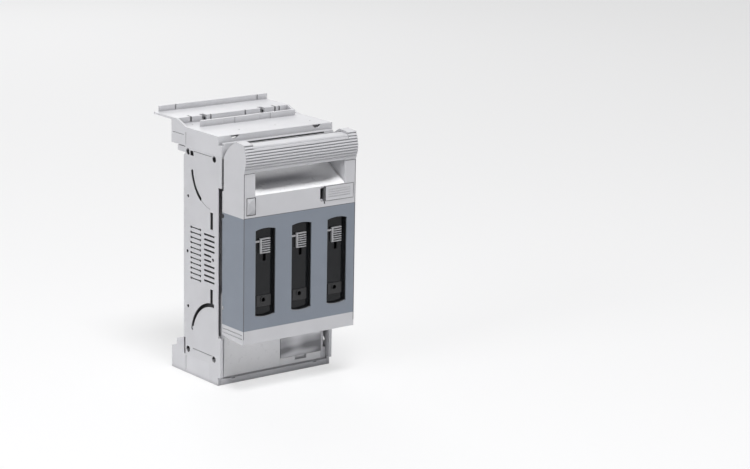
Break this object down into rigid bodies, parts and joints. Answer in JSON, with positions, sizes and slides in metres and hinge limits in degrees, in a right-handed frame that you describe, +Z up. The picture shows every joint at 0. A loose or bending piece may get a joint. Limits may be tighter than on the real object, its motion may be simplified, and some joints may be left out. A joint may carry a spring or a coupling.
{
  "type": "fuse switch disconnector",
  "caption": "Three-pole fuse switch disconnector with a hinged ridged-grip cover, windows, moulded body with arc slots and vents, hoods and rear busbar hooks.",
  "frame": {"origin": "middle of the front edge of the underside, below the front face of the hoods", "axes": "+Z up along the height, -Y to the front where the cover is, +X to the right seen from the front"},
  "size_m": [0.106, 0.1244, 0.2036],
  "materials": {
    "body_plastic": "fine moulded grain",
    "hood_plastic": "fine moulded grain",
    "cover_plastic": "fine moulded grain",
    "band_plastic": "satin blue-grey",
    "slider_plastic": "ribbed satin",
    "dark_plastic": "satin black",
    "plate_film": "bare satin film",
    "clear_window": "clear plastic",
    "smoked_window": "smoked clear plastic",
    "plated_copper": "tin-plated copper",
    "steel": "zinc-plated"
  },
  "bodies": {
    "base": {"chassis": "body_plastic", "top_hood": "hood_plastic", "bottom_hood": "hood_plastic", "rating_plate": "plate_film", "plate_window": "clear_window", "upper_jaw_1": "plated_copper", "upper_jaw_2": "plated_copper", "upper_jaw_3": "plated_copper", "lower_jaw_1": "plated_copper", "lower_jaw_2": "plated_copper", "lower_jaw_3": "plated_copper", "jaw_springs": "steel", "jaw_screws": "steel", "load_strap_1": "plated_copper", "load_strap_2": "plated_copper", "load_strap_3": "plated_copper", "line_strap_1": "plated_copper", "line_strap_2": "plated_copper", "line_strap_3": "plated_copper", "cable_clamp_1": "steel", "cable_clamp_2": "steel", "cable_clamp_3": "steel", "clamp_screws": "steel", "arc_chute_1": "steel", "arc_chute_2": "steel", "arc_chute_3": "steel", "busbar_hook_1": "body_plastic", "busbar_hook_2": "body_plastic", "busbar_hook_3": "body_plastic"},
    "cover": {"cover_shell": "cover_plastic", "cover_band": "band_plastic", "marker_lens": "clear_window", "guide_pins": "steel", "window_pane_1": "smoked_window", "window_pane_2": "smoked_window", "window_pane_3": "smoked_window", "probe_plate_1": "dark_plastic", "probe_plate_2": "dark_plastic", "probe_plate_3": "dark_plastic", "fuse_carrier_1": "dark_plastic", "fuse_carrier_2": "dark_plastic", "fuse_carrier_3": "dark_plastic"},
    "lock": {"lock_slider": "cover_plastic"},
    "test_1": {"test_slider_1": "slider_plastic"},
    "test_2": {"test_slider_2": "slider_plastic"},
    "test_3": {"test_slider_3": "slider_plastic"}
  },
  "joints": [
    {"name": "cover_hinge", "type": "hinge", "parent": "base", "child": "cover", "pos_m": [0, 0.007, 0.033], "axis": [1, 0, 0], "range_deg": [0, 80]},
    {"name": "lock_slide", "type": "slide", "parent": "cover", "child": "lock", "axis": [-1, 0, 0], "range_m": [0, 0.0045]},
    {"name": "test_slide_1", "type": "slide", "parent": "cover", "child": "test_1", "axis": [0, 0, -1], "range_m": [0, 0.012]},
    {"name": "test_slide_2", "type": "slide", "parent": "cover", "child": "test_2", "axis": [0, 0, -1], "range_m": [0, 0.012]},
    {"name": "test_slide_3", "type": "slide", "parent": "cover", "child": "test_3", "axis": [0, 0, -1], "range_m": [0, 0.012]}
  ]
}
